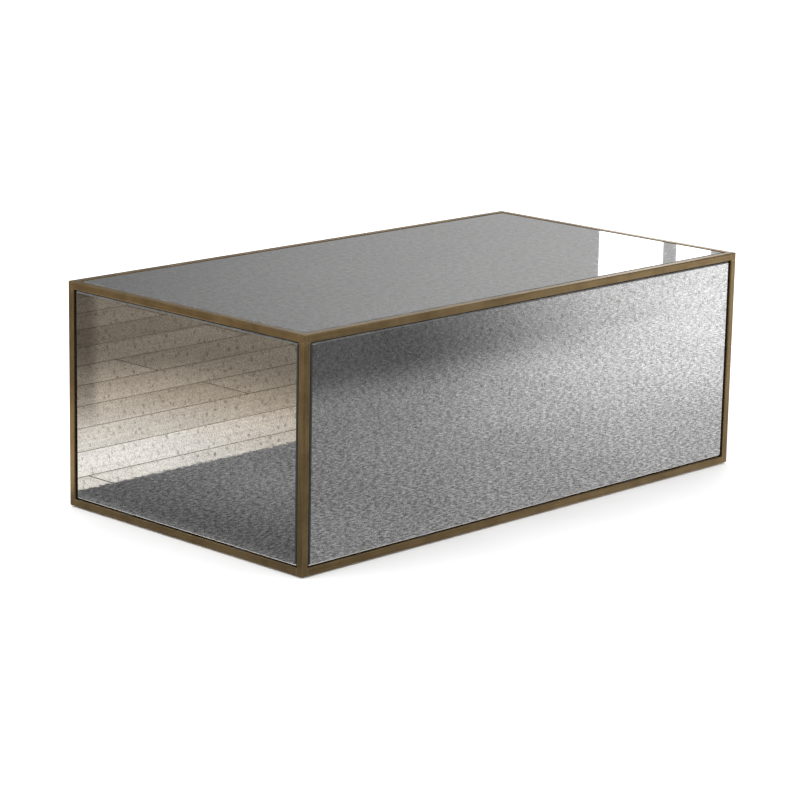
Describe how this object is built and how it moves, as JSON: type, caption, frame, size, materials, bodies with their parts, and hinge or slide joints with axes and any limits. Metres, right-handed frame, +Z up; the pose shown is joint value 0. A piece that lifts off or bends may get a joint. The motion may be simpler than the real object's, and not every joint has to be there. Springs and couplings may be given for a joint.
{
  "type": "mirror block table",
  "caption": "Low rectangular block table: a welded square-tube frame in bronze with antiqued mirror panels inset in the top and all four sides, on hidden levelling feet.",
  "frame": {"origin": "on the floor, under the middle of the table's footprint, with the levelling feet screwed right in", "axes": "+X along the long side, +Y from the front long side to the back one, +Z up"},
  "size_m": [1.22, 0.65, 0.445],
  "materials": {
    "frame": "satin",
    "mirror_glass": "polished",
    "backing": "matte",
    "tape": "matte",
    "neoprene": "matte",
    "zinc_steel": "satin",
    "nylon": "matte"
  },
  "bodies": {
    "table": {"back_backing_board": "backing", "back_mirror": "mirror_glass", "back_mirror_tape": "tape", "back_panel_screws": "zinc_steel", "back_panel_tabs": "frame", "back_setting_blocks": "neoprene", "bottom_cross_brace": "frame", "bottom_panel_left": "backing", "bottom_panel_right": "backing", "bottom_panel_screws": "zinc_steel", "bottom_panel_tabs": "frame", "bottom_rail_back": "frame", "bottom_rail_front": "frame", "bottom_rail_left": "frame", "bottom_rail_right": "frame", "foot_plates": "frame", "foot_weld_nuts": "zinc_steel", "front_backing_board": "backing", "front_mirror": "mirror_glass", "front_mirror_tape": "tape", "front_panel_screws": "zinc_steel", "front_panel_tabs": "frame", "front_setting_blocks": "neoprene", "left_backing_board": "backing", "left_mirror": "mirror_glass", "left_mirror_tape": "tape", "left_panel_screws": "zinc_steel", "left_panel_tabs": "frame", "left_setting_blocks": "neoprene", "post_back_left": "frame", "post_back_right": "frame", "post_end_caps": "frame", "post_front_left": "frame", "post_front_right": "frame", "right_backing_board": "backing", "right_mirror": "mirror_glass", "right_mirror_tape": "tape", "right_panel_screws": "zinc_steel", "right_panel_tabs": "frame", "right_setting_blocks": "neoprene", "top_backing_board": "backing", "top_cross_braces": "frame", "top_mirror": "mirror_glass", "top_mirror_tape": "tape", "top_panel_screws": "zinc_steel", "top_panel_tabs": "frame", "top_rail_back": "frame", "top_rail_front": "frame", "top_rail_left": "frame", "top_rail_right": "frame"},
    "pad_front_left": {"foot_pad_front_left": "nylon"},
    "stud_front_left": {"foot_stud_front_left": "zinc_steel"},
    "pad_front_right": {"foot_pad_front_right": "nylon"},
    "stud_front_right": {"foot_stud_front_right": "zinc_steel"},
    "pad_back_right": {"foot_pad_back_right": "nylon"},
    "stud_back_right": {"foot_stud_back_right": "zinc_steel"},
    "pad_back_left": {"foot_pad_back_left": "nylon"},
    "stud_back_left": {"foot_stud_back_left": "zinc_steel"}
  },
  "joints": [
    {"name": "foot_travel_front_left", "type": "slide", "parent": "table", "child": "pad_front_left", "axis": [0, 0, -1], "range_m": [0, 0.01]},
    {"name": "foot_screw_front_left", "type": "hinge", "parent": "pad_front_left", "child": "stud_front_left", "pos_m": [-0.573, -0.288, 0.006], "axis": [0, 0, -1], "range_deg": [0, 2880]},
    {"name": "foot_travel_front_right", "type": "slide", "parent": "table", "child": "pad_front_right", "axis": [0, 0, -1], "range_m": [0, 0.01]},
    {"name": "foot_screw_front_right", "type": "hinge", "parent": "pad_front_right", "child": "stud_front_right", "pos_m": [0.573, -0.288, 0.006], "axis": [0, 0, -1], "range_deg": [0, 2880]},
    {"name": "foot_travel_back_right", "type": "slide", "parent": "table", "child": "pad_back_right", "axis": [0, 0, -1], "range_m": [0, 0.01]},
    {"name": "foot_screw_back_right", "type": "hinge", "parent": "pad_back_right", "child": "stud_back_right", "pos_m": [0.573, 0.288, 0.006], "axis": [0, 0, -1], "range_deg": [0, 2880]},
    {"name": "foot_travel_back_left", "type": "slide", "parent": "table", "child": "pad_back_left", "axis": [0, 0, -1], "range_m": [0, 0.01]},
    {"name": "foot_screw_back_left", "type": "hinge", "parent": "pad_back_left", "child": "stud_back_left", "pos_m": [-0.573, 0.288, 0.006], "axis": [0, 0, -1], "range_deg": [0, 2880]}
  ],
  "couplings": [
    {"joint": "foot_travel_front_left", "follows": "foot_screw_front_left", "m_per_rad": 0.00019894},
    {"joint": "foot_travel_front_right", "follows": "foot_screw_front_right", "m_per_rad": 0.00019894},
    {"joint": "foot_travel_back_right", "follows": "foot_screw_back_right", "m_per_rad": 0.00019894},
    {"joint": "foot_travel_back_left", "follows": "foot_screw_back_left", "m_per_rad": 0.00019894}
  ]
}
